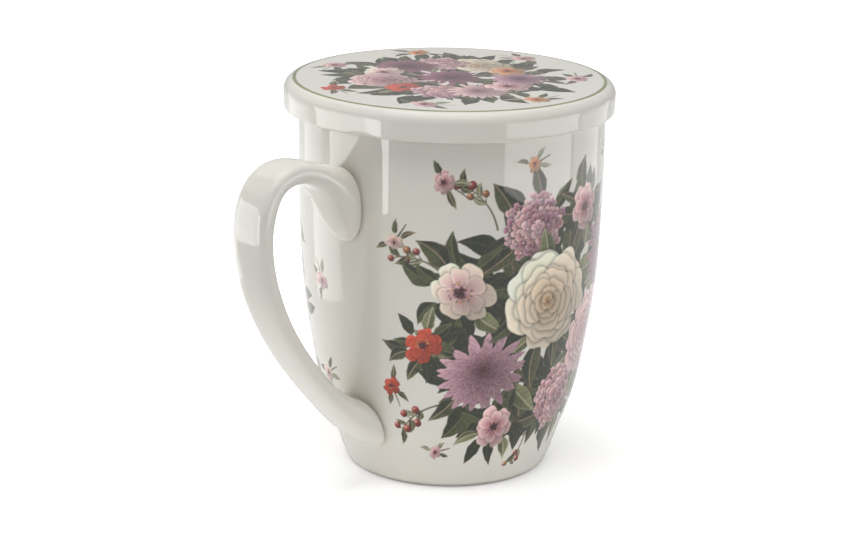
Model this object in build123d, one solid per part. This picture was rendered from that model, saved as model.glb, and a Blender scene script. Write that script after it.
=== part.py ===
from build123d import *
from math import cos, degrees, radians, sin
import os

# Lidded porcelain tea mug with a lift-out steel infuser. Millimetres, +Z up.
# The origin is the centre of the foot ring, on the surface that the mug stands on. The handle
# points along -X, so the two printed faces of the mug look along -Y and +Y.
# Every outline of a turned piece is drawn as (radius, height) and revolved round Z.

# Mug body, one casting
mug_height = 106.2
mouth_radius = 42.55  # outside of the wall, over its straight top
wall = 3.1  # at the lip, which is fully round; the wall thickens towards the floor
straight_from = 92.0  # the wall stands upright above this height
outer_wall = [(31.85, 9.8), (35.45, 20.0), (38.7, 35.0), (40.95, 50.0), (42.2, 70.0)]
inner_wall = [(38.95, 70.0), (37.6, 50.0), (35.2, 35.0), (31.8, 20.5), (27.5, 10.8)]
wall_spans = 6  # each face of the wall is a chain of this many spans
floor_top = 4.8
floor_radius = 18.0  # where the floor starts to curve up into the wall
foot_radius = 27.0  # outer edge of the ring that stands on the table
foot_round = 1.8  # rounding from that edge into the wall
foot_lean = 26.5  # degrees off upright at which the wall leaves the rounding
foot_inner = 24.4
foot_recess = 1.7
recess_radius = 23.2

# Handle, an oval strap that bows out in the XZ plane, from inside the wall at the upper joint
# to inside the wall at the lower one. Each station is (reach, height) of the strap's outer edge,
# the same of its inner edge, and its half width; reach is measured from the mug's axis.
handle_stations = [
    ((39.6, 91.0), (39.6, 70.4), 7.2),
    ((46.4, 93.2), (46.0, 77.4), 6.8),
    ((51.6, 94.8), (51.8, 85.2), 6.5),
    ((57.6, 96.6), (58.2, 89.9), 6.4),
    ((65.2, 97.5), (64.6, 91.0), 6.4),
    ((72.8, 94.5), (69.0, 89.3), 6.4),
    ((77.6, 87.6), (71.4, 84.9), 6.4),
    ((78.8, 78.0), (72.6, 78.4), 6.4),
    ((76.4, 64.8), (70.9, 66.9), 6.4),
    ((70.4, 51.3), (65.4, 54.1), 6.4),
    ((60.7, 37.2), (55.9, 40.7), 6.4),
    ((50.2, 25.2), (45.6, 30.6), 6.5),
    ((40.8, 16.4), (39.4, 27.0), 7.1),
    ((29.6, 8.0), (33.4, 24.7), 7.9),
]

# Infuser, pressed and welded from thin sheet. Its collar hangs on the mug's lip.
sheet = 0.5  # collar
fine_sheet = 0.4  # sleeve, band and screen
collar_radius = 41.9
shoulder_radius = 38.9  # where the collar turns down into the mouth, which centres it
shoulder_drop = 5.0
neck_radius = 33.6  # outside of the neck that the sleeve is welded on
neck_bottom = 95.5
press_round = 0.8  # inside radius of the pressed bends
sleeve_top = 100.3
infuser_bottom = 43.0
slot_columns = 54
slot_rows = 2
slot_width = 0.9
slot_length = 19.6
slot_bridge = 2.8  # metal left between two rows
slots_from = 52.0
seam_width = 5.0  # overlap of the rolled sleeve, on the side away from the handle
band_height = 6.5
band_bevel = 0.5
band_lip = 3.4  # turned in under the screen
screen_rings = [(4.0, 8), (11.5, 18), (19.0, 28)]  # inner radius of a ring of slots, and their number
screen_slot_length = 5.6

# Lid, a flat plate with a skirt that drops round the mug's lip
lid_radius = 46.1
lid_offset = (-0.57, 0.64)  # a loose lid lies a little off the mug's axis
lid_top = 110.3
skirt_bottom = 102.2
skirt_gap = 1.2  # clearance all round the lip when the lid is centred
skirt_draft = 0.25  # the skirt's foot stands in by this much
lid_shoulder = 3.4
skirt_round = 0.7
lid_hollow = 0.8  # slope inside, where the plate meets the skirt

# Worked out
lip_round = wall / 2
lip_middle = (mouth_radius - lip_round, mug_height - lip_round)
inside_radius = mouth_radius - wall
collar_top = mug_height + sheet
sleeve_radius = neck_radius + fine_sheet
band_radius = sleeve_radius + fine_sheet
screen_bottom = infuser_bottom + fine_sheet
sleeve_bottom = screen_bottom + fine_sheet
skirt_inside = mouth_radius + skirt_gap
cut_depth = 4 * fine_sheet  # a slot's cutter passes right through the sheet


def turned(outline):
    """The solid made by turning a closed (radius, height) outline round Z."""
    return revolve(Plane.XZ * make_face(outline), axis=Axis.Z)


def in_spans(curve):
    """The same curve as a chain of equal spans."""
    return [curve.trim(span / wall_spans, (span + 1) / wall_spans) for span in range(wall_spans)]


def outside_of_wall():
    """The outer face of the wall, from the end of the foot's rounding to where it stands upright."""
    lean = radians(foot_lean)
    start = (foot_radius + foot_round * cos(lean), foot_round * (1 - sin(lean)))
    end = (mouth_radius, straight_from)
    return in_spans(Spline(start, *outer_wall, end, tangents=[(sin(lean), cos(lean)), (0, 1)]))


def inside_of_wall():
    """The inner face, from where it stands upright down to the flat of the floor."""
    start = (inside_radius, straight_from)
    end = (floor_radius, floor_top)
    return in_spans(Spline(start, *inner_wall, end, tangents=[(0, -1), (-1, 0)]))


def make_mug_body():
    """Wall with a full-round lip, a floor, and a foot ring round a shallow recess."""
    foot = CenterArc((foot_radius, foot_round), foot_round, -90, 90 - foot_lean)
    rim = CenterArc(lip_middle, lip_round, 0, 180)
    underside = Polyline((foot_radius, 0), (foot_inner, 0), (recess_radius, foot_recess), (0, foot_recess))
    floor = Polyline((0, foot_recess), (0, floor_top), (floor_radius, floor_top))
    uprights = [
        Line((mouth_radius, straight_from), rim @ 0),
        Line(rim @ 1, (inside_radius, straight_from)),
    ]
    sides = [*outside_of_wall(), *inside_of_wall(), *uprights]
    return turned([foot, rim, *sides, *underside.edges(), *floor.edges()])


def mug_without_hollow():
    """All the space inside the mug's outer face, to which the handle's ends are cut."""
    outside = outside_of_wall()
    core = Polyline(outside[-1] @ 1, (mouth_radius, mug_height), (0, mug_height), (0, 0), outside[0] @ 0)
    return turned([*outside, *core.edges()])


def strap_section(outer, inner, half_width):
    """Oval section between a point of the outer edge and one of the inner edge."""
    outer_edge = Vector(-outer[0], 0, outer[1])
    inner_edge = Vector(-inner[0], 0, inner[1])
    through = outer_edge - inner_edge
    along = Vector(0, 1, 0).cross(through)
    plane = Plane(origin=(outer_edge + inner_edge) / 2, x_dir=(0, 1, 0), z_dir=along)
    return plane * Ellipse(half_width, through.length / 2)


def make_handle():
    """Strap lofted through its sections, with both flared ends cut to the curve of the wall."""
    sections = [strap_section(*station) for station in handle_stations]
    return loft(sections) - mug_without_hollow()


def make_lid():
    """Flat plate with a rounded shoulder and a skirt, hollow underneath."""
    outside = FilletPolyline(
        (0, lid_top), (lid_radius, lid_top),
        (lid_radius - skirt_draft, skirt_bottom), (skirt_inside, skirt_bottom),
        radius=[lid_shoulder, skirt_round],
    )
    inside = Polyline(
        (skirt_inside, skirt_bottom), (skirt_inside, collar_top - lid_hollow),
        (skirt_inside - lid_hollow, collar_top), (0, collar_top), (0, lid_top),
    )
    return Pos(*lid_offset) * turned([*outside.edges(), *inside.edges()])


def make_infuser_collar():
    """Flat rim that lies on the lip, a sloping shoulder that drops into the mouth, and a neck."""
    shoulder_bottom = mug_height - shoulder_drop
    upper = FilletPolyline(
        (collar_radius, collar_top), (shoulder_radius, collar_top),
        (neck_radius - sheet, shoulder_bottom + sheet), (neck_radius - sheet, neck_bottom),
        radius=[press_round + sheet, press_round],
    )
    lower = FilletPolyline(
        (neck_radius, neck_bottom), (neck_radius, shoulder_bottom),
        (shoulder_radius, mug_height), (collar_radius, mug_height),
        radius=[press_round + sheet, press_round],
    )
    ends = [Line(upper @ 1, lower @ 0), Line(lower @ 1, upper @ 0)]
    return turned([*upper.edges(), *lower.edges(), *ends])


def turned_corners(*corners):
    """A turned solid with straight sides between its corners."""
    return turned(Polyline(*corners, close=True).edges())


def sleeve_slots():
    """Upright slots in rows all round the sleeve, left out where the rolled sheet overlaps itself."""
    slot = Box(cut_depth, slot_width, slot_length)
    slots = []
    for row in range(slot_rows):
        height = slots_from + slot_length / 2 + row * (slot_length + slot_bridge)
        for place in PolarLocations(sleeve_radius, slot_columns, start_angle=180 / slot_columns):
            on_seam = place.position.X > 0 and abs(place.position.Y) < seam_width / 2 + slot_width
            if not on_seam:
                slots.append(Pos(0, 0, height) * place * slot)
    return slots


def make_infuser_sleeve():
    """Rolled sheet with rows of slots, overlapped along a welded seam that stops at the band."""
    tube = turned_corners(
        (neck_radius, sleeve_bottom), (sleeve_radius, sleeve_bottom),
        (sleeve_radius, sleeve_top), (neck_radius, sleeve_top),
    )
    seam_bottom = infuser_bottom + band_height
    strip = Polyline(
        (sleeve_radius, seam_bottom), (band_radius, seam_bottom),
        (band_radius, sleeve_top), (sleeve_radius, sleeve_top),
        close=True,
    )
    seam_angle = degrees(seam_width / sleeve_radius)
    seam = revolve(Plane.XZ * make_face(strip.edges()), axis=Axis.Z, revolution_arc=seam_angle)
    return tube - sleeve_slots() + Rot(0, 0, -seam_angle / 2) * seam


def make_infuser_band():
    """Ring round the foot of the sleeve, turned in under the screen."""
    top = infuser_bottom + band_height
    return turned_corners(
        (band_radius, top), (sleeve_radius, top), (sleeve_radius, screen_bottom),
        (band_radius - band_lip, screen_bottom), (band_radius - band_lip, infuser_bottom),
        (band_radius - band_bevel, infuser_bottom), (band_radius, infuser_bottom + band_bevel),
    )


def make_infuser_screen():
    """Flat disc with rings of radial slots, held between the sleeve and the band's lip."""
    disc = Pos(0, 0, screen_bottom + fine_sheet / 2) * Cylinder(sleeve_radius, fine_sheet)
    slot = Box(screen_slot_length, slot_width, cut_depth)
    slots = []
    for inner, count in screen_rings:
        for place in PolarLocations(inner + screen_slot_length / 2, count):
            slots.append(Pos(0, 0, screen_bottom) * place * slot)
    return disc - slots


def main():
    os.makedirs("parts", exist_ok=True)
    pieces = {
        "mug_body": make_mug_body(),
        "handle": make_handle(),
        "lid": make_lid(),
        "infuser_collar": make_infuser_collar(),
        "infuser_sleeve": make_infuser_sleeve(),
        "infuser_band": make_infuser_band(),
        "infuser_screen": make_infuser_screen(),
    }
    for node, solid in pieces.items():
        export_step(solid, f"parts/{node}.step")


main()
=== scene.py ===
import math

import bpy
import numpy as np
from mathutils import Matrix, Vector


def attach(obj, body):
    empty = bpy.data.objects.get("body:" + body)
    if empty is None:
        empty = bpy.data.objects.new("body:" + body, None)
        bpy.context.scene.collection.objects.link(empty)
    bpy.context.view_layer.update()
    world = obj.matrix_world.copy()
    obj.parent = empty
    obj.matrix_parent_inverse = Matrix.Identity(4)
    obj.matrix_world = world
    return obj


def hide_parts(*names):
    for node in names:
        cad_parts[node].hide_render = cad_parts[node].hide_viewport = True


# Lidded porcelain tea mug with a steel infuser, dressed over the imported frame. The handle points along -X.
# Shapes are in millimetres, and in metres once they are in a mesh.
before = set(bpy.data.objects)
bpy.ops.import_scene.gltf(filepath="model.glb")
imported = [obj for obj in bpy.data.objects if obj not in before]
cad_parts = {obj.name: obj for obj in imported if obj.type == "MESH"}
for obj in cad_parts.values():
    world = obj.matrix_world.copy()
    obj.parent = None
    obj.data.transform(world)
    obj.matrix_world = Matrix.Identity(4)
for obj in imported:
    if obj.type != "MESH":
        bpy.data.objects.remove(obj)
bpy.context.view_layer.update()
mm = 0.001
print("frame loaded:", sorted(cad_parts))


def heading(angle):
    # (cos, sin) of an angle, or of each in a row.
    return np.stack([np.cos(angle), np.sin(angle)], -1)


def unit(v):
    # v / its length
    return v / np.linalg.norm(v, axis=-1, keepdims=True)


def slopesThrough(knots, values, ends=(None, None)):
    # Slopes m of a cubic through the values, with one bend on both sides of a knot. With steps h and chord
    # slopes c: h1 * m0 + 2 * (h0 + h1) * m1 + h0 * m2 = 3 * (h1 * c0 + h0 * c1).
    # An end has the slope given for it, or no bend where that is None.
    h = np.diff(knots)
    c = np.diff(values, axis=0) / h[:, None]
    free = [end is None for end in ends]
    first, last = (3 * chord if end is None else end for chord, end in zip(c[[0, -1]], ends))
    matrix = np.diag([1 + free[0], *2 * (h[:-1] + h[1:]), 1 + free[1]])
    matrix += np.diag([free[0], *h[:-1]], 1) + np.diag([*h[1:], free[1]], -1)
    right = np.vstack([first, 3 * (h[1:, None] * c[:-1] + h[:-1, None] * c[1:]), last])
    return np.linalg.solve(matrix, right)


def alongCurve(knots, values, slopes, t):
    # Hermite cubic: a blend of the values and slopes at the two knots around t.
    span = np.clip(np.searchsorted(knots, t, side="right") - 1, 0, len(knots) - 2)
    step = (knots[span + 1] - knots[span])[..., None]
    s = (t - knots[span])[..., None] / step
    near = (1 + 2 * s) * (1 - s) ** 2 * values[span] + s * (1 - s) ** 2 * step * slopes[span]
    far = s ** 2 * (3 - 2 * s) * values[span + 1] + s ** 2 * (s - 1) * step * slopes[span + 1]
    return near + far


def chordLengths(points):
    # Length of the line through the points, up to each.
    return np.append(0, np.cumsum(np.linalg.norm(np.diff(points, axis=0), axis=1)))


def curveThrough(points, startSlope, endSlope, count):
    # The clamped cubic through the points, whose parameter is the length along their chords.
    points = np.array(points, float)
    knots = chordLengths(points)
    slopes = slopesThrough(knots, points, (startSlope, endSlope))
    return alongCurve(knots, points, slopes, np.linspace(0, knots[-1], count))


def parabola(start, control, end, s):
    # (1 - s)^2 * start + 2 * s * (1 - s) * control + s^2 * end
    return (1 - s) ** 2 * start + 2 * s * (1 - s) * control + s ** 2 * end


def arcPoints(centre, radius, fromDegrees, toDegrees, count):
    # centre + radius * (cos a, sin a)
    return np.array(centre) + radius * heading(np.radians(np.linspace(fromDegrees, toDegrees, count)))


def straightRuns(corners, counts):
    # From each corner to the next, start * (1 - s) + end * s, in so many points.
    ends, shares = np.array(corners), [np.linspace(0, 1, count)[:, None] for count in counts]
    return np.vstack([start * (1 - s) + end * s for start, end, s in zip(ends, ends[1:], shares)])


def joinedRuns(*runs):
    # Runs end to end, with a point that two of them share kept once.
    points = np.vstack(runs)
    apart = np.append(True, np.linalg.norm(np.diff(points, axis=0), axis=1) > 1e-4)
    return points[apart]


def newObject(name, data):
    # An object at the origin, in the scene.
    piece = bpy.data.objects.new(name, data)
    bpy.context.scene.collection.objects.link(piece)
    return piece


def putMesh(name, points, faces, materials, finish=None, sharpDegrees=35):
    # A mesh object from points in millimetres, creased only at real corners.
    mesh = bpy.data.meshes.new(name)
    mesh.from_pydata((np.asarray(points) * mm).tolist(), [], [f for block in faces for f in block.tolist()])
    for material in materials:
        mesh.materials.append(material)
    if finish is not None:
        mesh.polygons.foreach_set("material_index", finish)
    mesh.polygons.foreach_set("use_smooth", np.ones(len(mesh.polygons), bool))
    mesh.set_sharp_from_angle(angle=math.radians(sharpDegrees))
    mesh.validate()
    return newObject(name, mesh)


def tubeFaces(rows, columns):
    # Quads of a grid whose columns run round and close.
    row, column = np.meshgrid(np.arange(rows - 1), np.arange(columns), indexing="ij")
    here, beside = row * columns + column, row * columns + (column + 1) % columns
    return np.stack([here, beside, beside + columns, here + columns], -1).reshape(-1, 4)


def closedTube(rings, firstPole, lastPole):
    # Rings (row, column, xyz) joined into a tube, with a fan to a single point at each end.
    rows, columns = rings.shape[:2]
    points = np.vstack([rings.reshape(-1, 3), firstPole, lastPole])
    column = np.arange(columns)
    after = (column + 1) % columns
    first, last, lastRow = rows * columns, rows * columns + 1, (rows - 1) * columns
    start = np.stack([np.full(columns, first), after, column], 1)
    end = np.stack([np.full(columns, last), lastRow + column, lastRow + after], 1)
    return points, [start, tubeFaces(rows, columns), end]


def turnedRings(outline, segments, centre):
    # Point (row, column) = outline radius turned by column / segments of a full turn, at its height.
    turns = heading(np.linspace(0, 2 * np.pi, segments, endpoint=False))
    flat = np.array(centre) + outline[:, None, :1] * turns
    return np.concatenate([flat, np.repeat(outline[:, None, 1:], segments, axis=1)], -1)


def turnedPiece(name, outline, segments, centre, bare):
    # The outline runs from the axis underneath, out, up and back to the axis above, so faces look outwards.
    # bare(radius, height) is true where the glaze is wiped off.
    ends = [(*centre, outline[0, 1]), (*centre, outline[-1, 1])]
    points, faces = closedTube(turnedRings(outline[1:-1], segments, centre), *ends)
    middle = (outline[:-1] + outline[1:]) / 2
    finish = np.repeat(bare(middle[:, 0], middle[:, 1]).astype(np.int32), segments)
    return putMesh(name, points, faces, [glazedPorcelain, barePorcelain], finish)


def newMaterial(name):
    # A material, its shader, and the object's own coordinates.
    material = bpy.data.materials.new(name)
    material.use_nodes = True
    nodes = material.node_tree.nodes
    return material, nodes["Principled BSDF"], nodes.new("ShaderNodeTexCoord").outputs["Object"]


def setInputs(node, inputs):
    # Inputs by name or number: another node's output is linked, anything else is a plain value.
    for key, value in inputs.items():
        if isinstance(value, bpy.types.NodeSocket):
            node.id_data.links.new(value, node.inputs[key])
        else:
            node.inputs[key].default_value = value


def addNode(near, kind, inputs, **settings):
    # A node with its settings and its inputs, in the same tree as the node or socket near.
    node = near.id_data.nodes.new("ShaderNode" + kind)
    for key, value in settings.items():
        setattr(node, key, value)
    setInputs(node, inputs)
    return node


def noiseAt(place, scale, detail=2.0, roughness=0.5):
    # Noise, 0 to 1: each octave is twice as fine as the last, and roughness times as strong.
    inputs = {"Vector": place, "Scale": scale, "Detail": detail, "Roughness": roughness}
    return addNode(place, "TexNoise", inputs).outputs["Fac"]


def ramped(value, low, high, fromValue=0.0, toValue=1.0):
    # low + (high - low) * (value - fromValue) / (toValue - fromValue), held at both ends.
    inputs = {"Value": value, "From Min": fromValue, "From Max": toValue, "To Min": low, "To Max": high}
    return addNode(value, "MapRange", inputs).outputs["Result"]


def combined(operation, first, second):
    # Two numbers made into one.
    return addNode(first, "Math", {0: first, 1: second}, operation=operation).outputs[0]


def mixedColour(place, share, first, second, blend="MIX"):
    # first * (1 - share) + second * share, or first + second * share where the blend is ADD.
    inputs = {0: share, 6: first, 7: second}
    return addNode(place, "Mix", inputs, data_type="RGBA", blend_type=blend).outputs[2]


def bumped(height, strength, distance):
    # The normal, leaned by the slope of height * distance, in metres, times strength.
    inputs = {"Height": height, "Strength": strength, "Distance": distance}
    return addNode(height, "Bump", inputs).outputs["Normal"]


glaze = {
    "colour": (0.735, 0.708, 0.642, 1),
    "cooler": (0.722, 0.702, 0.650, 1),
    "driftScale": 28.0,
    "fleckColour": (0.20, 0.17, 0.13, 1),
    "fleckScale": 95.0,
    "fleckSize": (0.014, 0.026),  # from full to gone, in cells
    "fleckStrength": 0.75,
    "fleckRarity": (0.80, 0.82),  # only cells whose random number is higher have one
    "bodyRoughness": (0.30, 0.38),
    "bodyScale": 120.0,
    "bodyGloss": 0.1,
    "glassIndex": 1.5,
    "glassWeight": 1.0,
    "glassRoughness": 0.025,
    "waveScale": 60.0,
    "waveStrength": 0.25,
    "waveHeight": 0.00006,
}

bandedLine = {
    "colours": ((0.190, 0.210, 0.100, 1), (0.290, 0.310, 0.175, 1)),
    "unevenScale": 110.0,
}

bareClay = {
    "colours": ((0.66, 0.63, 0.57, 1), (0.76, 0.74, 0.69, 1)),
    "roughness": 0.72,
    "grainScale": 1800.0,
    "grainStrength": 0.4,
    "grainHeight": 0.00005,
}

steel = {
    "colours": ((0.63, 0.63, 0.62, 1), (0.73, 0.725, 0.71, 1)),
    "metallic": 0.7,
    "roughness": (0.34, 0.40),
    "cloudScale": 160.0,
    "streakScale": 3200.0,
    "streakStrength": 0.10,
    "streakHeight": 0.00002,
}


def glazeColour(place):
    # Warm white that drifts a little cooler over a few centimetres, with a dark fleck amid a rare cell.
    drift = ramped(noiseAt(place, glaze["driftScale"]), 0, 1, 0.35, 0.65)
    white = mixedColour(place, drift, glaze["colour"], glaze["cooler"])
    cells = addNode(place, "TexVoronoi", {"Vector": place, "Scale": glaze["fleckScale"]})
    fleck = ramped(cells.outputs["Distance"], glaze["fleckStrength"], 0, *glaze["fleckSize"])
    rare = ramped(cells.outputs["Color"], 0, 1, *glaze["fleckRarity"])
    return mixedColour(place, combined("MULTIPLY", fleck, rare), white, glaze["fleckColour"])


def printColour(place):
    # glaze * (1 - cover) + paint, where the mesh's attribute paint holds colour times cover, and cover as
    # its alpha.
    layer = addNode(place, "Attribute", {}, attribute_name="paint")
    bareGlaze = mixedColour(place, layer.outputs["Alpha"], glazeColour(place), (0, 0, 0, 1))
    return mixedColour(place, 1.0, bareGlaze, layer.outputs["Color"], "ADD")


def lineColour(place):
    # Thin olive, a little uneven round the lid.
    uneven = noiseAt(place, bandedLine["unevenScale"], 3.0, 0.6)
    return mixedColour(place, ramped(uneven, 0, 1, 0.3, 0.7), *bandedLine["colours"])


def makeGlazed(name, colourAt):
    # A satin body of the given colour under clear glass that lies in very low, wide waves.
    material, shader, place = newMaterial(name)
    waves = noiseAt(place, glaze["waveScale"], 1.0)
    setInputs(shader, {
        "Base Color": colourAt(place),
        "Roughness": ramped(noiseAt(place, glaze["bodyScale"]), *glaze["bodyRoughness"]),
        "IOR": glaze["glassIndex"],
        "Specular IOR Level": glaze["bodyGloss"],
        "Coat Weight": glaze["glassWeight"],
        "Coat Roughness": glaze["glassRoughness"],
        "Coat Normal": bumped(waves, glaze["waveStrength"], glaze["waveHeight"]),
    })
    return material


def makeBarePorcelain():
    # Wiped bare and matt, with one fine grain that mixes two colours and lifts the surface.
    material, shader, place = newMaterial("barePorcelain")
    grain = noiseAt(place, bareClay["grainScale"], 4.0, 0.7)
    setInputs(shader, {
        "Base Color": mixedColour(place, grain, *bareClay["colours"]),
        "Roughness": bareClay["roughness"],
        "Normal": bumped(grain, bareClay["grainStrength"], bareClay["grainHeight"]),
    })
    return material


def makeSteel():
    # Fine streaks run round the axis, so their noise is read at (reach, 0, height).
    material, shader, place = newMaterial("satinSteel")
    flat = addNode(place, "VectorMath", {0: place, 1: (1, 1, 0)}, operation="MULTIPLY")
    reach = addNode(place, "VectorMath", {0: flat.outputs[0]}, operation="LENGTH")
    height = addNode(place, "SeparateXYZ", {0: place})
    rings = addNode(place, "CombineXYZ", {"X": reach.outputs["Value"], "Z": height.outputs["Z"]})
    streak = noiseAt(rings.outputs[0], steel["streakScale"], 3.0, 0.6)
    setInputs(shader, {
        "Base Color": mixedColour(place, streak, *steel["colours"]),
        "Metallic": steel["metallic"],
        "Roughness": ramped(noiseAt(place, steel["cloudScale"]), *steel["roughness"]),
        "Normal": bumped(streak, steel["streakStrength"], steel["streakHeight"]),
    })
    return material


glazedPorcelain = makeGlazed("glazedPorcelain", glazeColour)
printedPorcelain = makeGlazed("printedPorcelain", printColour)
linePorcelain = makeGlazed("linePorcelain", lineColour)
barePorcelain = makeBarePorcelain()
satinSteel = makeSteel()
print("materials made")


mugBody = {
    "height": 106.2,
    "mouthRadius": 42.55,
    "wall": 3.1,
    "straightFrom": 92.0,
    "outside": [(31.85, 9.8), (35.45, 20.0), (38.7, 35.0), (40.95, 50.0), (42.2, 70.0)],
    "inside": [(38.95, 70.0), (37.6, 50.0), (35.2, 35.0), (31.8, 20.5), (27.5, 10.8)],
    "floorTop": 4.8,
    "floorRadius": 18.0,
    "footRadius": 27.0,
    "footRound": 1.8,
    "footLean": 26.5,
    "footInner": 24.4,
    "footRecess": 1.7,
    "recessRadius": 23.2,
    "wipedUpTo": 0.5,
    "segments": 300,
}


def outsideOfWall():
    # The cubic from the foot's rounding, where it leans out by footLean, to where it stands upright.
    m = mugBody
    lean = math.radians(m["footLean"])
    start = (m["footRadius"] + m["footRound"] * math.cos(lean), m["footRound"] * (1 - math.sin(lean)))
    points = [start, *m["outside"], (m["mouthRadius"], m["straightFrom"])]
    return curveThrough(points, (math.sin(lean), math.cos(lean)), (0, 1), 70)


def mugOutline():
    # Recess, foot ring, outer face, round lip, inner face and floor. Each run ends with its count of points.
    m = mugBody
    lipRound = m["wall"] / 2
    lipMiddle = (m["mouthRadius"] - lipRound, m["height"] - lipRound)
    insideRadius = m["mouthRadius"] - m["wall"]
    recess, footInner = (m["recessRadius"], m["footRecess"]), (m["footInner"], 0)
    straight, floor = (insideRadius, m["straightFrom"]), (m["floorRadius"], m["floorTop"])
    return joinedRuns(
        straightRuns([(0, m["footRecess"]), recess, footInner, (m["footRadius"], 0)], (12, 4, 4)),
        arcPoints((m["footRadius"], m["footRound"]), m["footRound"], -90, -m["footLean"], 10),
        outsideOfWall(),
        straightRuns([(m["mouthRadius"], m["straightFrom"]), (m["mouthRadius"], lipMiddle[1])], (6,)),
        arcPoints(lipMiddle, lipRound, 0, 180, 17),
        straightRuns([(insideRadius, lipMiddle[1]), straight], (6,)),
        curveThrough([straight, *m["inside"], floor], (0, -1), (-1, 0), 60),
        straightRuns([floor, (0, m["floorTop"])], (10,)),
    )


def wallRadius(height):
    # Radius of the outer face at a height, between the points of its outline.
    wall = outsideOfWall()
    return np.interp(height, wall[:, 1], wall[:, 0])


def wallSlope(height):
    # (radius above - radius below) / their distance
    step = 0.2
    return (wallRadius(height + step) - wallRadius(height - step)) / (2 * step)


def makeMugBody():
    # The turned outline, bare on the face of the foot ring.
    m = mugBody
    bare = lambda radius, height: height < m["wipedUpTo"]
    piece = turnedPiece("mugBody", mugOutline(), m["segments"], (0, 0), bare)
    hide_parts("mug_body")
    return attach(piece, "mug")


handleStrap = {
    "stations": [  # outer edge and inner edge as (reach, height), and half width
        ((39.6, 91.0), (39.6, 67.0), 7.4),
        ((46.4, 93.2), (46.0, 76.0), 6.9),
        ((51.6, 94.7), (51.8, 85.1), 6.45),
        ((57.6, 96.4), (58.2, 90.1), 6.3),
        ((65.2, 97.3), (64.6, 91.2), 6.25),
        ((72.6, 94.3), (69.2, 89.5), 6.2),
        ((77.3, 87.5), (71.7, 85.0), 6.2),
        ((78.45, 78.0), (72.95, 78.4), 6.2),
        ((76.1, 64.9), (71.2, 66.8), 6.2),
        ((70.1, 51.45), (65.7, 53.95), 6.2),
        ((60.45, 37.4), (56.15, 40.5), 6.25),
        ((50.0, 25.5), (45.8, 30.4), 6.5),
        ((40.8, 16.5), (39.4, 26.8), 7.6),
        ((29.6, 8.2), (33.4, 24.3), 8.6),
    ],
    "squareness": 3.0,
    "endSquareness": 2.15,
    "endLength": 18.0,
    "columns": 96,
    "rows": 240,
    "trialRows": 1600,  # in which the wall is looked for
    "glazeFillet": 3.0,
    "filletRows": 15,
    "sunk": 0.03,
    "poleDepth": 1.6,  # of the hidden ends under the wall
}


def strapCurve():
    # Edges and half width of the strap, against the length of the line between its edges.
    stations = np.array([[*outer, *inner, half] for outer, inner, half in handleStrap["stations"]])
    knots = chordLengths((stations[:, 0:2] + stations[:, 2:4]) / 2)
    return knots, stations, slopesThrough(knots, stations)


def strapPoints(curve, along, around):
    # A squared oval: middle + cos(around) ^ (2 / n) * half thickness, and sin(around) ^ (2 / n) * half width
    # to the side. n rises from endSquareness to squareness over endLength at each end.
    knots, stations, slopes = curve
    at = alongCurve(knots, stations, slopes, along)
    h = handleStrap
    s = np.clip(np.minimum(along, knots[-1] - along) / h["endLength"], 0, 1)
    power = 2 / (h["endSquareness"] + (h["squareness"] - h["endSquareness"]) * s ** 2 * (3 - 2 * s))
    across, sideways = (np.sign(w) * np.abs(w) ** power for w in (np.cos(around), np.sin(around)))
    outer, inner = at[..., 0:2], at[..., 2:4]
    edge = (outer + inner) / 2 + across[..., None] * (outer - inner) / 2
    return np.stack([-edge[..., 0], sideways * at[..., 4], edge[..., 1]], -1)


def wallNormal(points):
    # outwards - slope * up, as a unit vector
    outwards = unit(points * (1, 1, 0))
    return unit(outwards - wallSlope(points[:, 2])[:, None] * np.array([0, 0, 1.0]))


def jointFillet(curve, joint, around, direction):
    # A parabola from the wall to the strap, with its control point in the corner where they meet, and each
    # end glazeFillet away from it.
    h = handleStrap
    size, nudge, twist = h["glazeFillet"], 0.05, 0.01
    corner = strapPoints(curve, joint, around)
    onward = (strapPoints(curve, joint + direction * nudge, around) - corner) / nudge
    sideStep = strapPoints(curve, joint, around + twist) - strapPoints(curve, joint, around - twist)
    away = unit(np.cross(sideStep, onward)) * -direction
    normal = wallNormal(corner)
    away = unit(away - (away * normal).sum(1, keepdims=True) * normal)
    wallEnd = corner + size * away
    reach = np.hypot(wallEnd[:, 0], wallEnd[:, 1])
    wallEnd[:, :2] *= ((wallRadius(wallEnd[:, 2]) - h["sunk"]) / reach)[:, None]
    strapJoint = joint + direction * size / np.linalg.norm(onward, axis=1)
    strapEnd = strapPoints(curve, strapJoint, around)
    rows = parabola(wallEnd, corner, strapEnd, np.linspace(0, 1, h["filletRows"])[:, None, None])
    middle = corner.mean(0)
    return rows, strapJoint, middle - h["poleDepth"] * wallNormal(middle[None])[0]


def rowsInside(outside):
    # Rows before a column of points leaves the wall: the first row outside, less here / (here - before).
    column = np.arange(outside.shape[1])
    first = np.argmax(outside > 0, axis=0)
    here, before = outside[first, column], outside[first - 1, column]
    return first - here / (here - before)


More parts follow.
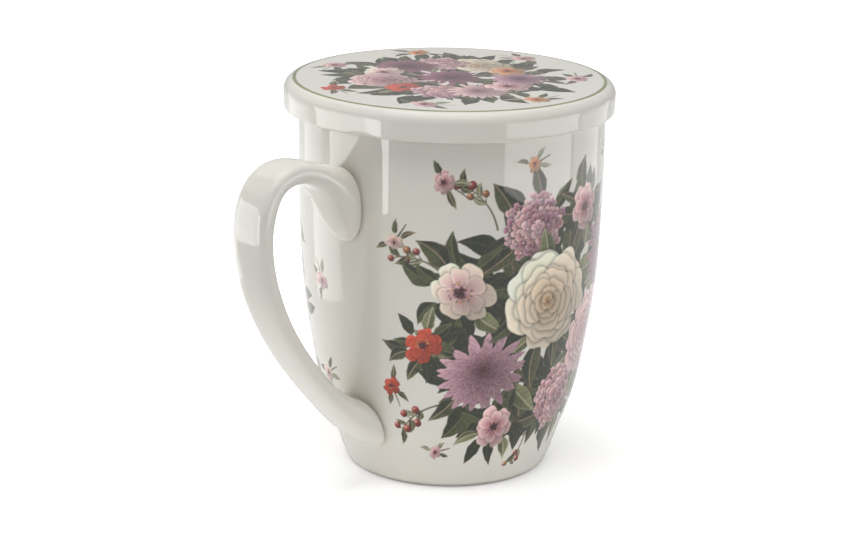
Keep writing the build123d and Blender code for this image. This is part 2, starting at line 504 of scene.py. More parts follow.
def makeHandle():
    # The strap between its two joints, with a fillet of glaze onto the wall at each.
    h = handleStrap
    curve = strapCurve()
    around = np.linspace(0, 2 * np.pi, h["columns"], endpoint=False)
    along = np.linspace(0, curve[0][-1], h["trialRows"])
    trial = strapPoints(curve, along[:, None] + 0 * around, around + 0 * along[:, None])
    outside = np.hypot(trial[..., 0], trial[..., 1]) - wallRadius(trial[..., 2])
    upperJoint, lowerJoint = along[1] * rowsInside(outside), along[-1] - along[1] * rowsInside(outside[::-1])
    upperRows, upperEnd, upperPole = jointFillet(curve, upperJoint, around, 1)
    lowerRows, lowerEnd, lowerPole = jointFillet(curve, lowerJoint, around, -1)
    s = np.linspace(0, 1, h["rows"])[1:-1, None]
    strap = strapPoints(curve, upperEnd * (1 - s) + lowerEnd * s, around + 0 * s)
    rings = np.concatenate([upperRows, strap, lowerRows[::-1]])[::-1]
    points, faces = closedTube(rings, lowerPole, upperPole)
    piece = putMesh("strapHandle", points, faces, [glazedPorcelain], sharpDegrees=70)
    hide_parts("handle")
    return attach(piece, "mug")


lid = {
    "radius": 46.1,
    "centre": (-0.57, 0.64),
    "top": 110.27,
    "underside": 106.7,
    "skirtBottom": 102.2,
    "skirtInside": 43.75,
    "skirtDraft": 0.25,
    "shoulder": 3.4,
    "skirtRound": 0.7,
    "hollow": 0.8,
    "wipedUpTo": 102.6,
    "wipedOutTo": 45.5,
    "segments": 300,
    "line": {"radius": 43.0, "width": 1.2, "rows": 9, "columns": 600},
}


def filletArc(before, corner, after, radius, count):
    # The arc that touches both straight sides of a corner: with half the corner's angle, its centre is
    # radius / sin(half) from the corner, and it touches each side at radius / tan(half).
    before, corner, after = (np.array(p, float) for p in (before, corner, after))
    u, v = unit(before - corner), unit(after - corner)
    half = math.acos(float(np.clip(u @ v, -1, 1))) / 2
    centre = corner + unit(u + v) * radius / math.sin(half)
    start, end = (corner + way * radius / math.tan(half) - centre for way in (u, v))
    turn = math.atan2(start[0] * end[1] - start[1] * end[0], start @ end)
    return centre + radius * heading(math.atan2(start[1], start[0]) + np.linspace(0, turn, count))


def lidOutline():
    # Underside, hollow of the skirt, its foot, its outside, the shoulder and the plate.
    d = lid
    hollowTop = (d["skirtInside"] - d["hollow"], d["underside"])
    hollowSide = (d["skirtInside"], d["underside"] - d["hollow"])
    inner, foot = (d["skirtInside"], d["skirtBottom"]), (d["radius"] - d["skirtDraft"], d["skirtBottom"])
    rim, middle = (d["radius"], d["top"]), (0, d["top"])
    skirtFoot = filletArc(inner, foot, rim, d["skirtRound"], 9)
    shoulder = filletArc(foot, rim, middle, d["shoulder"], 19)
    return joinedRuns(
        straightRuns([(0, d["underside"]), hollowTop, hollowSide, inner, skirtFoot[0]], (14, 4, 6, 4)),
        skirtFoot,
        straightRuns([skirtFoot[-1], shoulder[0]], (6,)),
        shoulder,
        straightRuns([shoulder[-1], middle], (24,)),
    )


def makeLid():
    # The turned outline, bare on the skirt's lower edge.
    bare = lambda radius, height: (height < lid["wipedUpTo"]) & (radius < lid["wipedOutTo"])
    piece = turnedPiece("lidPlate", lidOutline(), lid["segments"], lid["centre"], bare)
    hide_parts("lid")
    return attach(piece, "lid")


makeMugBody()
makeHandle()
makeLid()
print("mug, handle and lid made")

paints = {
    "plum": (92, 44, 62), "wine": (68, 30, 40), "mauve": (150, 100, 118), "lilac": (190, 152, 164),
    "rose": (184, 126, 136), "blush": (222, 190, 186), "cream": (236, 222, 200), "sand": (200, 172, 140),
    "red": (160, 42, 34), "coral": (192, 74, 50), "amber": (204, 132, 68), "ochre": (156, 110, 58),
    "leaf": (80, 86, 54), "darkLeaf": (40, 45, 31), "paleLeaf": (128, 131, 92),
    "bark": (82, 56, 44), "ink": (36, 24, 26),
}
wood, stalk = ("bark", "paleLeaf"), ("bark", "leaf")
greens = (
    ("darkLeaf", "leaf", "paleLeaf"), ("darkLeaf", "leaf", "sand"), ("leaf", "paleLeaf", "cream"),
    ("darkLeaf", "darkLeaf", "leaf"),
)


def paint(name):
    # A chart colour, 0 to 255, as linear light: ((c + 0.055) / 1.055) ^ 2.4, or c / 12.92 where very dark.
    c = np.array(paints[name]) / 255
    return np.where(c < 0.04, c / 12.92, ((c + 0.055) / 1.055) ** 2.4)


def tints(names):
    # Several paints at once.
    return [paint(name) for name in names]


def newSeed(random):
    # A whole number that starts another row of random draws.
    return int(random.integers(1e6))


def newCanvas(left, right, bottom, top, cell):
    # A flat grid in millimetres: ink is colour times cover, so that layers and edges add up.
    u, v = np.arange(left, right + cell, cell), np.arange(bottom, top + cell, cell)
    return {"u": u, "v": v, "ink": np.zeros((len(v), len(u), 3)), "cover": np.zeros((len(v), len(u)))}


def windowAt(canvas, place, reach):
    # The part of the canvas within reach of a place, and its coordinates from there.
    rows = slice(*np.searchsorted(canvas["v"], (place[1] - reach, place[1] + reach)))
    columns = slice(*np.searchsorted(canvas["u"], (place[0] - reach, place[0] + reach)))
    x, y = np.meshgrid(canvas["u"][columns] - place[0], canvas["v"][rows] - place[1])
    return (rows, columns), x, y


def turnedTo(angle, x, y):
    # The same places, counted along an angle and across it.
    c, s = math.cos(angle), math.sin(angle)
    return c * x + s * y, c * y - s * x


def lay(canvas, part, colour, cover):
    # Paint over paint: what was there times (1 - cover), plus colour times cover.
    cover = np.clip(cover, 0, 1)
    ink = np.clip(colour, 0, 1) * cover[..., None]
    canvas["ink"][part] = canvas["ink"][part] * (1 - cover[..., None]) + ink
    canvas["cover"][part] = canvas["cover"][part] * (1 - cover) + cover


def shade(canvas, part, depth):
    # ink * (1 - depth): darkens paint, and leaves bare glaze bare.
    canvas["ink"][part] *= 1 - np.clip(depth, 0, 0.95)[..., None]


def blend(first, second, share):
    # first + share * (second - first)
    return first + (second - first) * np.clip(share, 0, 1)[..., None]


def softEdge(gap, width):
    # Cover 0.5 - gap / width, between 1 and 0.
    return np.clip(0.5 - gap / width, 0, 1)


def ripple(random, x, waves, lowPitch, highPitch):
    # The mean of sines of random pitch and phase.
    pitch, phase = random.uniform(lowPitch, highPitch, waves), random.uniform(0, 2 * np.pi, waves)
    return np.sin(x[..., None] * pitch + phase).mean(-1)


brush = {
    "petalStray": 0.14,  # how far a petal's angle strays, in petals
    "petalSizes": (0.9, 1.06),
    "petalEdge": 0.3,
    "notchWidth": 0.22,
    "dome": 0.26,  # how much lighter a bloom is at its upper left
    "towardsLight": 0.12,  # and a petal that points to lightAngle
    "lightAngle": 2.2,
    "halves": 0.12,  # and one half of a petal
    "throat": 0.2,  # and how much darker it is at its root
    "curlFrom": 0.86,  # share of its length where the lighter rim starts
    "leafShadow": (0.4, 0.9),  # strength and reach
    "leafEdge": 0.28,
    "veins": 7,
    "strokeEdge": 0.25,
    "goldenAngle": 2.39996,  # turned by it, one after the other, places fill a disc evenly
}


def paintPetals(canvas, place, look, reach, count, colours, random):
    # One ring of a bloom. A petal about the angle a reaches out to
    # reach * (1 - |(angle - a) / half| ^ bluntness) ^ fullness, with a wavy, notched rim, and shades what is
    # under it. Its colour runs through three from root to rim, times the light on it.
    b = brush
    half = np.pi / count * look["overlap"]
    start = random.uniform(0, 2 * np.pi)
    for j in random.permutation(count):
        a = start + 2 * np.pi * (j + random.uniform(-b["petalStray"], b["petalStray"])) / count
        size = reach * random.uniform(*b["petalSizes"])
        part, x, y = windowAt(canvas, place, size * 1.2 + 1.5)
        across, up = turnedTo(look["turn"], x, y)
        up = up / look["tilt"]
        r = np.hypot(across, up)
        d = (np.mod(np.arctan2(up, across) - a + np.pi, 2 * np.pi) - np.pi) / half
        rim = size * np.clip(1 - np.abs(d) ** look["bluntness"], 0, 1) ** look["fullness"]
        notch = look["notch"] * np.exp(-(d / b["notchWidth"]) ** 2)
        rim *= 1 + look["wave"] * ripple(random, d, 3, 3, 8) - notch
        gap = r - rim
        under = np.clip(1 - gap / look["shadowReach"], 0, 1) ** 1.6 * (np.abs(d) < 1.2)
        shade(canvas, part, look["shadow"] * under)
        f = np.clip(r / np.maximum(rim, 0.01), 0, 1)
        colour = blend(blend(colours[0], colours[1], f * 2), colours[2], f * 2 - 1)
        lit = 1 + ripple(random, d + 0.15 * f, 6, 9, 34) * look["streaks"] * (1.1 - 0.5 * f)
        lit += b["dome"] * (y - x) / look["radius"] - b["throat"] * (1 - f) ** 2
        lit += b["towardsLight"] * math.cos(a + look["turn"] - b["lightAngle"])
        lit += b["halves"] * d * random.choice((-1, 1))
        lit += look["curl"] * np.clip((f - b["curlFrom"]) / (1 - b["curlFrom"]), 0, 1)
        lay(canvas, part, colour * lit[..., None], softEdge(gap, b["petalEdge"]) * (np.abs(d) < 1))


def paintBloom(canvas, place, radius, look, seed, turn, tilt):
    # Rings of petals from outside to heart. At a share of the way in, a ring reaches
    # radius * (1 - share) ^ crowding, is deeper in colour and leans further to one side.
    random = np.random.default_rng(seed)
    look = {**look, "turn": turn, "tilt": tilt, "radius": radius}
    lean = look["lean"] * radius * (1 - tilt) * np.array([-math.sin(turn), math.cos(turn)])
    outer, heart = tints(look["outer"]), tints(look["heart"])
    for k, count in enumerate(look["counts"]):
        share = k / len(look["counts"])
        colours = [o + (h - o) * share ** 1.3 for o, h in zip(outer, heart)]
        reach = radius * (1 - share) ** look["crowding"]
        paintPetals(canvas, place + lean * share, look, reach, count, colours, random)
    return random, place + lean


def paintDots(canvas, place, radii, count, size, colours, random):
    # Small round dots scattered between two radii.
    for _ in range(count):
        a, r = random.uniform(0, 2 * np.pi), random.uniform(*radii)
        part, x, y = windowAt(canvas, place + r * heading(a), size * 2)
        dot = paint(colours[random.integers(len(colours))]) * random.uniform(0.75, 1.2)
        lay(canvas, part, dot, 1.2 - np.hypot(x, y) / size)


def paintLeaf(canvas, root, angle, length, width, bend, colours, seed):
    # Along a bent midrib, half width is width * sin(pi * s ^ 0.8) with small teeth; one half is in the light,
    # and the side veins are stripes of s * veins - |across| / width.
    b = brush
    random = np.random.default_rng(seed)
    middle = root + 0.5 * length * heading(angle)
    part, x, y = windowAt(canvas, middle, length * 0.62 + width)
    along, across = turnedTo(angle, x + middle[0] - root[0], y + middle[1] - root[1])
    s = np.clip(along / length, 0, 1)
    across = across - bend * length * s * (1 - s) * 2
    waves = 1 + 0.10 * ripple(random, s, 3, 8, 22)
    gap = np.abs(across) - width * np.sin(np.pi * s ** 0.8) * (1 - 0.25 * s) * waves
    inside = (along > 0) & (along < length)
    depth, reach = b["leafShadow"]
    shade(canvas, part, depth * np.clip(1 - gap / reach, 0, 1) ** 1.5 * inside)
    side = np.clip(0.5 + across / (0.25 + 0.6 * width), 0, 1)
    colour = blend(colours[0], colours[1], side * 0.8 + 0.25 * ripple(random, along, 3, 0.4, 1.4))
    veins = np.abs(np.mod(s * b["veins"] - np.abs(across) / width * 1.1, 1) - 0.5) * 2
    light = 1 + 0.25 * np.clip(veins * 3 - 2, 0, 1) - 0.14 * np.clip(1 - 2.5 * veins, 0, 1)
    light += 0.14 * ripple(random, across * 3 + along, 4, 1, 4)
    rib = np.clip(1 - np.abs(across) / 0.25, 0, 1) * (s < 0.93)
    rim = np.clip(1 + gap / 0.5, 0, 1)
    colour = blend(blend(colour * light[..., None], colours[2], 0.6 * rib), colours[2], 0.22 * rim)
    lay(canvas, part, colour, softEdge(gap, b["leafEdge"]) * inside)


def paintStem(canvas, start, control, end, thickness, colours):
    # A stroke along a parabola, thinner towards its end and lighter above. Its gap is the distance to the
    # nearest of its points, less half its thickness there.
    count = 90
    line = parabola(start, control, end, np.linspace(0, 1, count)[:, None])
    middle = (line.min(0) + line.max(0)) / 2
    part, x, y = windowAt(canvas, middle, np.ptp(line, axis=0).max() / 2 + thickness + 1)
    offset = np.stack([x, y], -1)[..., None, :] + middle - line
    distance = np.hypot(offset[..., 0], offset[..., 1])
    nearest = distance.argmin(-1)
    gap = distance.min(-1) - thickness / 2 * (1.15 - 0.5 * nearest / count)
    upper = np.take_along_axis(offset[..., 1], nearest[..., None], -1)[..., 0]
    colour = blend(*tints(colours), 0.5 + upper / thickness)
    lay(canvas, part, colour, softEdge(gap, brush["strokeEdge"]))


def paintBerry(canvas, place, radius, colours, random):
    # A ball, lighter to the upper left, with a small highlight there and a small dark calyx.
    part, x, y = windowAt(canvas, place, radius * 1.3 + 1)
    r = np.hypot(x, y) / radius
    shade(canvas, part, 0.45 * np.clip(1.5 - r, 0, 1))
    side = np.clip(0.5 - (x - y) / (2.2 * radius), 0, 1)
    colour = blend(*tints(colours), side - 0.5 * np.clip(r - 0.7, 0, 1))
    spark = np.clip(1 - np.hypot(x + 0.35 * radius, y - 0.4 * radius) / (0.35 * radius), 0, 1)
    lay(canvas, part, blend(colour, np.ones(3), 0.7 * spark), softEdge((r - 1) * radius, brush["strokeEdge"]))
    tip = place + 0.75 * radius * heading(random.uniform(0, 2 * np.pi))
    part, x, y = windowAt(canvas, tip, 1)
    lay(canvas, part, paint("ink"), 0.8 * np.clip(1.3 - np.hypot(x, y) / 0.35, 0, 1))


dahlia = {
    "counts": (17, 16, 15, 13, 11, 9, 7, 5), "overlap": 1.25, "bluntness": 1.7, "fullness": 0.62,
    "wave": 0.02, "notch": -0.05, "shadow": 0.5, "shadowReach": 1.0, "streaks": 0.10, "curl": 0.10,
    "crowding": 0.85, "lean": 0.5, "outer": ("plum", "mauve", "lilac"), "heart": ("wine", "wine", "plum"),
}
camellia = {
    "counts": (7, 6, 6, 5, 5, 4, 3), "overlap": 1.6, "bluntness": 2.8, "fullness": 0.5,
    "wave": 0.05, "notch": 0.07, "shadow": 0.55, "shadowReach": 1.7, "streaks": 0.07, "curl": 0.10,
    "crowding": 0.95, "lean": 0.7, "outer": ("sand", "cream", "cream"), "heart": ("bark", "ochre", "sand"),
}
anemone = {
    "counts": (6, 6), "overlap": 1.3, "bluntness": 2.6, "fullness": 0.55,
    "wave": 0.04, "notch": 0.04, "shadow": 0.5, "shadowReach": 1.2, "streaks": 0.12, "curl": 0.06,
    "crowding": 0.35, "lean": 0.3, "outer": ("plum", "rose", "blush"), "heart": ("plum", "rose", "blush"),
}
floret = {
    **anemone, "counts": (4,), "overlap": 1.15, "bluntness": 2.2, "shadowReach": 0.8, "shadow": 0.6,
    "streaks": 0.08,
}
floretColours = (("mauve", "lilac", "blush"), ("plum", "mauve", "lilac"), ("mauve", "rose", "blush"))
lightDahlia = {**dahlia, "outer": ("mauve", "lilac", "blush"), "heart": ("plum", "plum", "mauve")}
darkDahlia = {**dahlia, "outer": ("wine", "plum", "mauve"), "heart": ("ink", "wine", "wine")}
roseCamellia = {**camellia, "outer": ("mauve", "rose", "blush"), "heart": ("plum", "mauve", "rose")}
coralAnemone = {**anemone, "outer": ("red", "coral", "coral"), "heart": ("wine", "red", "coral")}
amberAnemone = {**anemone, "outer": ("coral", "amber", "sand"), "heart": ("red", "coral", "amber")}
paleAnemone = {**anemone, "outer": ("rose", "blush", "cream"), "heart": ("mauve", "rose", "blush")}


def paintSeeded(canvas, place, radius, look, seed, turn, tilt):
    # An open bloom with a dark heart and a ring of stamens.
    random, heart = paintBloom(canvas, place, radius, look, seed, turn, tilt)
    seeds, stamens = ("ink", "wine", "plum"), ("ink", "amber", "sand")
    ring = (0.22 * radius, 0.34 * radius)
    paintDots(canvas, heart, (0, 0.18 * radius), int(9 * radius), 0.028 * radius + 0.12, seeds, random)
    paintDots(canvas, heart, ring, int(5 * radius), 0.018 * radius + 0.1, stamens, random)


def evenDisc(count):
    # Places that fill a disc, from rim to middle: sqrt(k / count) of the radius, at k golden angles.
    k = np.arange(count)[::-1]
    return zip(np.sqrt((k + 0.5) / count), k * brush["goldenAngle"])


def paintCluster(canvas, place, radius, seed):
    # A dome of small four-petalled florets, tilted at the rim and laid from there to the middle.
    random = np.random.default_rng(seed)
    for share, turn in evenDisc(int(radius ** 2 / 2.1)):
        out = 0.86 * share
        spot = place + out * radius * heading(turn) + random.normal(0, 0.25, 2)
        colours = floretColours[random.integers(len(floretColours))]
        look = {**floret, "outer": colours, "heart": colours}
        size, seed = random.uniform(2.0, 2.6), newSeed(random)
        paintBloom(canvas, spot, size, look, seed, random.uniform(0, 3), 1 - 0.35 * out ** 2)
        paintDots(canvas, spot, (0, 0.1), 2, 0.32, ("sand", "cream"), random)


def paintLeaves(canvas, place, radius, count, random, stretch=1.0):
    # Leaves all round a bloom, from under its rim, at even angles that stray a little.
    start = random.uniform(0, 2 * np.pi)
    for j in range(count):
        a = start + 2 * np.pi * (j + random.uniform(-0.3, 0.3)) / count
        length = stretch * random.uniform(0.75, 1.15) * (4.5 + 0.62 * radius)
        look = tints(greens[random.choice(4, p=(0.4, 0.25, 0.15, 0.2))])
        way, width = a + random.uniform(-0.5, 0.5), length * random.uniform(0.2, 0.3)
        bend, seed = random.uniform(-0.3, 0.3), newSeed(random)
        paintLeaf(canvas, place + 0.72 * radius * heading(a), way, length, width, bend, look, seed)


def paintBed(canvas, middle, reach, count, length, random):
    # Dark leaves under the blooms: roots fill an oval evenly, and leaves point away from its middle.
    for out, turn in evenDisc(count):
        away = out * np.array(reach) * heading(turn)
        way = math.atan2(away[1], away[0]) + random.uniform(-0.6, 0.6)
        look = tints(greens[random.choice((0, 1, 3, 3))])
        size = length * random.uniform(0.75, 1.2)
        bend, seed = random.uniform(-0.3, 0.3), newSeed(random)
        width = size * random.uniform(0.22, 0.32)
        paintLeaf(canvas, middle + away, way, size, width, bend, look, seed)


def paintBerries(canvas, root, angle, length, count, random):
    # A sprig that arches over, with a berry on a short stalk and a small leaf at every step.
    arch = random.choice((-1, 1)) * 0.22 * length
    middle = root + length / 2 * heading(angle) + arch * np.array([-math.sin(angle), math.cos(angle)])
    tip = root + length * heading(angle)
    paintStem(canvas, root, middle, tip, 0.6, wood)
    for k in range(count):
        at = parabola(np.array(root), middle, tip, 0.35 + 0.65 * (k + 1) / count)
        out = (1 if k % 2 else -1) * random.uniform(0.5, 1.1)
        end = at + random.uniform(1.6, 3.0) * heading(angle + out)
        look = tints(greens[random.integers(3)])
        size, width, seed = random.uniform(3.5, 5.5), random.uniform(0.8, 1.3), newSeed(random)
        paintLeaf(canvas, at, angle - 0.8 * out, size, width, 0.2, look, seed)
        paintStem(canvas, at, (at + end) / 2, end, 0.4, wood)
        radius, ripe = random.uniform(0.9, 1.35), random.random() < 0.6
        paintBerry(canvas, end, radius, ("wine", "coral") if ripe else ("bark", "amber"), random)


def paintSingle(canvas, place, radius, look, angle, random):
    # One small bloom with its stem and three leaves.
    away = heading(angle)
    paintStem(canvas, place, place + 0.9 * radius * away + (0.3, 0.2), place + 2 * radius * away, 0.55, stalk)
    for turn in (-0.55, 0.5, 2.6):
        leaf, length = tints(greens[random.integers(3)]), radius * random.uniform(1.2, 1.7)
        bend, seed, way = random.uniform(-0.3, 0.3), newSeed(random), angle + turn
        root = place + 0.6 * radius * heading(way)
        paintLeaf(canvas, root, way, length, radius * 0.3, bend, leaf, seed)
    paintSeeded(canvas, place, radius, look, newSeed(random), random.uniform(0, 3), 0.8)


printSheet = {
    "cell": 0.27,
    "proud": 0.02,
    "sunk": 0.06,
    "wrapRadius": 41.0,
}

wallPrint = {
    "extent": (-64, 64, 6, 100),
    "seed": 41,
    "leaves": (6, 1 / 3, 1.0),  # round each bloom: least number, number per millimetre of radius, stretch
    "leavesBetween": 3,  # laid over the bloom below
    "tilts": (0.82, 0.95),
    "firstSeed": 0,
    "middle": [],
    "bed": {"middle": (-3, 49), "reach": (31, 30), "count": 84, "length": 12.5},
    "berries": [  # root, angle, length, number of berries
        ((-34, 28), 3.7, 17, 5), ((-22, 78), 2.2, 15, 4), ((31, 76), 0.9, 12, 5), ((20, 20), -0.5, 18, 5),
        ((-36, 66), 2.8, 12, 4), ((35, 34), -0.9, 10, 4), ((-6, 16), -1.9, 9, 3),
    ],
    "blooms": [
        (paintCluster, (-11, 78), 10.0, None), (paintCluster, (5, 26), 10.5, None),
        (paintCluster, (33, 46), 8.5, None),
        (paintBloom, (-24, 37), 13.5, dahlia), (paintBloom, (23, 67), 12.0, darkDahlia),
        (paintBloom, (17, 43), 13.5, roseCamellia), (paintBloom, (-5, 56), 16.0, camellia),
        (paintSeeded, (-31, 61), 10.0, paleAnemone), (paintSeeded, (-41, 45), 6.0, coralAnemone),
        (paintSeeded, (-19, 20), 7.0, anemone), (paintSeeded, (8, 80), 7.0, anemone),
        (paintSeeded, (27, 27), 6.5, amberAnemone),
    ],
    "singles": [  # place, radius, look, angle of the stem
        ((-36, 91), 3.6, anemone, -0.6), ((-49, 74), 3.0, paleAnemone, 1.0),
        ((-51, 32), 3.2, coralAnemone, -1.2), ((-12, 95), 2.6, amberAnemone, 0.4),
        ((50, 86), 3.5, coralAnemone, -2.4), ((54, 58), 3.2, anemone, 2.0),
        ((51, 30), 3.2, paleAnemone, 0.5), ((24, 92), 3.0, paleAnemone, 2.6),
        ((-38, 12), 2.6, anemone, 0.3), ((26, 10), 2.8, coralAnemone, 2.8),
    ],
}


def ringOf(items, radius, start):
    # Items at even turns round the middle: (item, its place at radius * (cos, sin) of its turn, the turn).
    turns = np.linspace(0, 2 * np.pi, len(items), endpoint=False) + start
    return zip(items, radius * heading(turns), turns)


lidPrint = {
    "extent": (-42, 42, -42, 42),
    "seed": 7,
    "bed": {"middle": (0, 0), "reach": (27, 27), "count": 84, "length": 10.5},
    "berries": [],
    "leaves": (8, 0, 0.8),
    "leavesBetween": 0,
    "tilts": (0.85, 0.95),
    "firstSeed": 50,
    "blooms": [(kind, place, size, look) for (kind, size, look), place, _ in ringOf([
        (paintBloom, 10.5, camellia), (paintCluster, 8.0, None), (paintBloom, 9.5, darkDahlia),
        (paintSeeded, 7.0, paleAnemone), (paintBloom, 10.0, roseCamellia), (paintSeeded, 6.0, coralAnemone),
        (paintCluster, 8.0, None), (paintBloom, 9.5, lightDahlia), (paintSeeded, 7.0, anemone),
        (paintBloom, 9.0, dahlia), (paintSeeded, 6.0, amberAnemone),
    ], 19.0, 0.3)],
    "middle": [((0, 0), 9.5, darkDahlia, 99, 0.4, 0.95)],
    "singles": [(place, 4.2, look, turn + 1.6) for look, place, turn in ringOf([
        anemone, amberAnemone, anemone, coralAnemone, anemone, amberAnemone, anemone,
    ], 35.5, 0.1)],
}


def paintDesign(w):
    # Bed, berries, leaves, blooms and single blooms, each over the last.
    canvas = newCanvas(*w["extent"], printSheet["cell"])
    random = np.random.default_rng(w["seed"])
    paintBed(canvas, **w["bed"], random=random)
    for sprig in w["berries"]:
        paintBerries(canvas, *sprig, random)
    least, perRadius, stretch = w["leaves"]
    for kind, place, radius, look in w["blooms"]:
        paintLeaves(canvas, place, radius, least + int(radius * perRadius), random, stretch)
    for k, (kind, place, radius, look) in enumerate(w["blooms"]):
        if kind is paintCluster:
            kind(canvas, place, radius, k)
            continue
        if w["leavesBetween"]:
            paintLeaves(canvas, place, radius * 0.95, w["leavesBetween"], random, 0.8)
        turn, tilt = random.uniform(0, 3), random.uniform(*w["tilts"])
        kind(canvas, place, radius, look, w["firstSeed"] + k, turn, tilt)
    for bloom in w["middle"]:
        paintBloom(canvas, *bloom)
    for single in w["singles"]:
        paintSingle(canvas, *single, random)
    return canvas


def putPrint(name, canvas, onto, body):
    # A fine sheet over the painted cells: place on the glaze + normal * lift, both from onto(u, v). A corner
    # without paint lies under the glaze, so that no edge shows.
    u, v = np.meshgrid(canvas["u"], canvas["v"])
    painted = canvas["cover"] > 0.01
    row, column = np.nonzero(painted[:-1, :-1] | painted[1:, :-1] | painted[:-1, 1:] | painted[1:, 1:])
    wide = u.shape[1]
    corner = row * wide + column
    quads = np.stack([corner, corner + 1, corner + wide + 1, corner + wide], 1)
    used, index = np.unique(quads, return_inverse=True)
    places, normals = onto(u.ravel()[used], v.ravel()[used])
    lift = np.where(painted.ravel()[used], printSheet["proud"], -printSheet["sunk"])[:, None]
    faces = [index.reshape(-1, 4)]
    piece = putMesh(name, places + normals * lift, faces, [printedPorcelain], sharpDegrees=180)
    layer = piece.data.color_attributes.new("paint", "FLOAT_COLOR", "POINT")
    colour = np.concatenate([canvas["ink"].reshape(-1, 3), canvas["cover"].reshape(-1, 1)], 1)[used]
    layer.data.foreach_set("color", colour.astype(np.float32).ravel())
    piece.data.normals_split_custom_set_from_vertices(normals.tolist())
    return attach(piece, body)


def ontoWall(facing):
    # Wraps the flat print: angle = facing + u / wrapRadius, height = v, and the wall's own radius there.
    def onto(u, v):
        out = heading(math.radians(facing) + u / printSheet["wrapRadius"])
        places = np.concatenate([wallRadius(v)[:, None] * out, v[:, None]], 1)
        return places, unit(np.concatenate([out, -wallSlope(v)[:, None]], 1))
    return onto


def ontoLid(u, v):
    # Flat on the lid's plate, counted from the lid's own middle.
    places = np.stack([u + lid["centre"][0], v + lid["centre"][1], np.full(len(u), lid["top"])], 1)
    return places, np.tile((0.0, 0.0, 1.0), (len(u), 1))


def makeLidLine():
    # A narrow band on the lid's outline: rows across it, columns round.
    line = lid["line"]
    half = line["width"] / 2
    across = np.linspace(line["radius"] - half, line["radius"] + half, line["rows"])
    outline = lidOutline()[::-1]
    top = outline[:, 1] > lid["top"] - lid["shoulder"]
    lift = np.full(line["rows"], printSheet["proud"])
    lift[[0, -1]] = -printSheet["sunk"]
    height = np.interp(across, outline[top, 0], outline[top, 1]) + lift
    rings = turnedRings(np.stack([across, height], 1), line["columns"], lid["centre"])
    faces = tubeFaces(line["rows"], line["columns"])[:, ::-1]
    piece = putMesh("lidLine", rings.reshape(-1, 3), [faces], [linePorcelain], sharpDegrees=180)
    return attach(piece, "lid")


wallCanvas = paintDesign(wallPrint)
putPrint("frontPrint", wallCanvas, ontoWall(-90), "mug")
putPrint("backPrint", wallCanvas, ontoWall(90), "mug")
putPrint("lidPrint", paintDesign(lidPrint), ontoLid, "lid")
makeLidLine()
print("prints painted")

for node in ("infuser_collar", "infuser_sleeve", "infuser_band", "infuser_screen"):
    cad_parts[node].data.materials[0] = satinSteel


stage = {
    "floorSize": 6000.0,
    "floorColour": (0.78, 0.78, 0.77, 1),
    "floorRoughness": 0.9,
    "nearGlow": 0.42,
    "farGlow": 0.82,
    "glowRadii": (0.03, 0.15),
    "floorInGloss": 0.40,
    "worldInGloss": 0.36,
    "worldLight": 0.23,
}

# Degrees round from the camera's side, positive to the right of its picture; degrees up; metres from the
# point aimed at; that point's height; the lamp's width and height; its brightness, where 1 looks white.
cards = {  # seen in gloss only; all but the one overhead end low, so that the lid's plate never mirrors them
    "leftStripe": (-49.5, 0, 0.31, 0.0625, 0.06, 0.125, 5.0),
    "leftCard": (-72, 0, 0.17, 0.0805, 0.124, 0.079, 2.8),
    "leftEdge": (-122, 0, 0.31, 0.058, 0.17, 0.115, 0.7),
    "leftLow": (-97, 0, 0.15, 0.0235, 0.086, 0.047, 1.3),
    "rightCard": (66, 0, 0.33, 0.0625, 0.36, 0.125, 2.2),
    "rightEdge": (116, 0, 0.33, 0.058, 0.22, 0.115, 0.9),
    "overheadCard": (-20, 80, 0.60, 0.06, 0.5, 0.5, 1.3),
}
fills = {  # light the shade only
    "overhead": (-20, 80, 0.60, 0.06, 0.5, 0.5, 5.1),
    "leftKey": (-54, 15, 0.50, 0.05, 0.16, 0.26, 1.85),
    "leftFill": (-118, 12, 0.50, 0.05, 0.4, 0.4, 1.15),
    "rightFill": (75, 8, 0.50, 0.05, 0.5, 0.4, 0.57),
    "backFill": (170, 14, 0.60, 0.05, 0.6, 0.4, 0.35),
    "table": (0, -90, 0.0, 0.001, 0.24, 0.24, 0.40),
}

viewpoint = {
    "azimuth": -48.0,
    "elevation": 16.281,
    "distance": 0.680,
    "target": (0, 0, 0.055),
    "roll": 1.11,
    "imageSize": (855, 535),
    "sensorWidth": 36.0,
    "focalPixels": 2404.1,
    "targetPixel": (449.36, 269.33),
}


def byRay(near, lighting, mirrored):
    # One strength for light on the object, one for what gloss mirrors, and a white 1 for what is seen.
    rays = addNode(near, "LightPath", {}).outputs
    straight = combined("MAXIMUM", rays["Is Camera Ray"], rays["Is Transmission Ray"])
    return ramped(straight, ramped(rays["Is Glossy Ray"], lighting, mirrored), 1.0)


def makeFloor():
    # White, whose glow rises from nearGlow to farGlow between two radii, so the mug's shadow stays.
    corners = np.array([(-1, -1, 0), (1, -1, 0), (1, 1, 0), (-1, 1, 0)]) * stage["floorSize"] / 2
    material, shader, place = newMaterial("floorPaper")
    reach = addNode(place, "VectorMath", {0: place}, operation="LENGTH").outputs["Value"]
    glow = ramped(reach, stage["nearGlow"], stage["farGlow"], *stage["glowRadii"])
    setInputs(shader, {
        "Base Color": stage["floorColour"],
        "Roughness": stage["floorRoughness"],
        "Specular IOR Level": 0.0,
        "Emission Color": (1, 1, 1, 1),
        "Emission Strength": combined("MULTIPLY", glow, byRay(place, 0.0, stage["floorInGloss"])),
    })
    putMesh("floor", corners, [np.arange(4)[None]], [material])


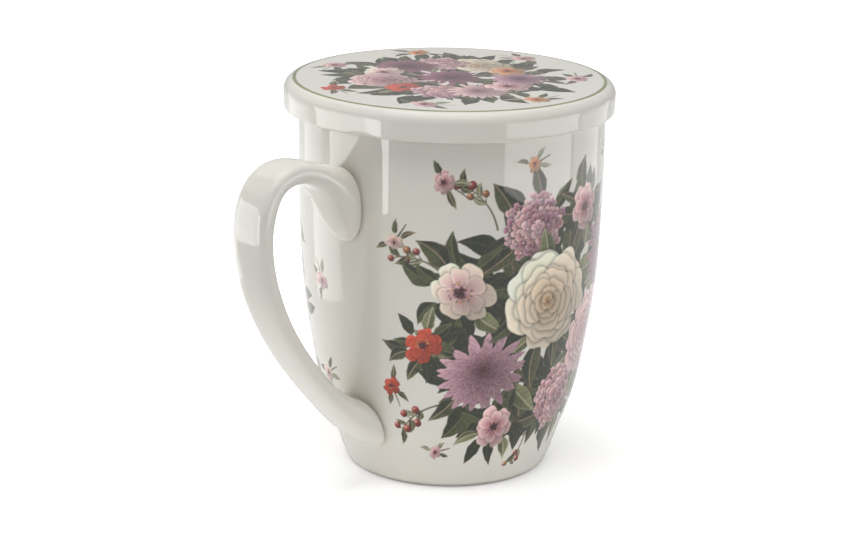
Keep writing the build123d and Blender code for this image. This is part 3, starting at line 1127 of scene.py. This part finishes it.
def makeWorld():
    # Even white, as strong as the kind of ray asks.
    world = bpy.data.worlds.new("studio")
    bpy.context.scene.world = world
    world.use_nodes = True
    background = world.node_tree.nodes["Background"]
    strength = byRay(background, stage["worldLight"], stage["worldInGloss"])
    setInputs(background, {"Color": (1, 1, 1, 1), "Strength": strength})


def towards(azimuth, elevation):
    # (sin a * cos e, -cos a * cos e, sin e): azimuth 0 is the side of -Y.
    a, e = math.radians(azimuth), math.radians(elevation)
    return Vector((math.sin(a) * math.cos(e), -math.cos(a) * math.cos(e), math.sin(e)))


def placeLamp(name, inGloss, azimuth, elevation, distance, aim, width, height, brightness):
    # A soft panel that faces its aim. Its power is pi * area * brightness.
    data = bpy.data.lights.new(name, "AREA")
    data.shape = "RECTANGLE"
    data.size, data.size_y = width, height
    data.energy = math.pi * width * height * brightness
    lamp = newObject(name, data)
    direction = towards(viewpoint["azimuth"] + azimuth, elevation)
    lamp.location = Vector((0, 0, aim)) + direction * distance
    lamp.rotation_euler = direction.to_track_quat("Z", "Y").to_euler()
    lamp.visible_camera = False
    lamp.visible_glossy = inGloss
    lamp.visible_diffuse = not inGloss


def makeCamera():
    # Looks at the target, a little rolled; the shift puts the target on its pixel.
    v = viewpoint
    back = towards(v["azimuth"], v["elevation"])
    right = (-back).cross(Vector((0, 0, 1))).normalized()
    turn = Matrix((right, back.cross(right), back)).transposed().to_4x4()
    data = bpy.data.cameras.new("camera")
    width, height = v["imageSize"]
    data.sensor_width = v["sensorWidth"]
    data.lens = v["focalPixels"] * data.sensor_width / width
    data.shift_x = (width / 2 - v["targetPixel"][0]) / width
    data.shift_y = (v["targetPixel"][1] - height / 2) / width
    data.clip_start, data.clip_end = 0.01, 20
    camera = newObject("camera", data)
    place, roll = Vector(v["target"]) + v["distance"] * back, Matrix.Rotation(math.radians(v["roll"]), 4, "Z")
    camera.matrix_world = Matrix.Translation(place) @ turn @ roll
    bpy.context.scene.camera = camera


makeFloor()
makeWorld()
for lamps, inGloss in ((cards, True), (fills, False)):
    for name, row in lamps.items():
        placeLamp(name, inGloss, *row)
makeCamera()
bpy.context.scene.view_settings.view_transform = "Standard"
print("floor, lights and camera placed")
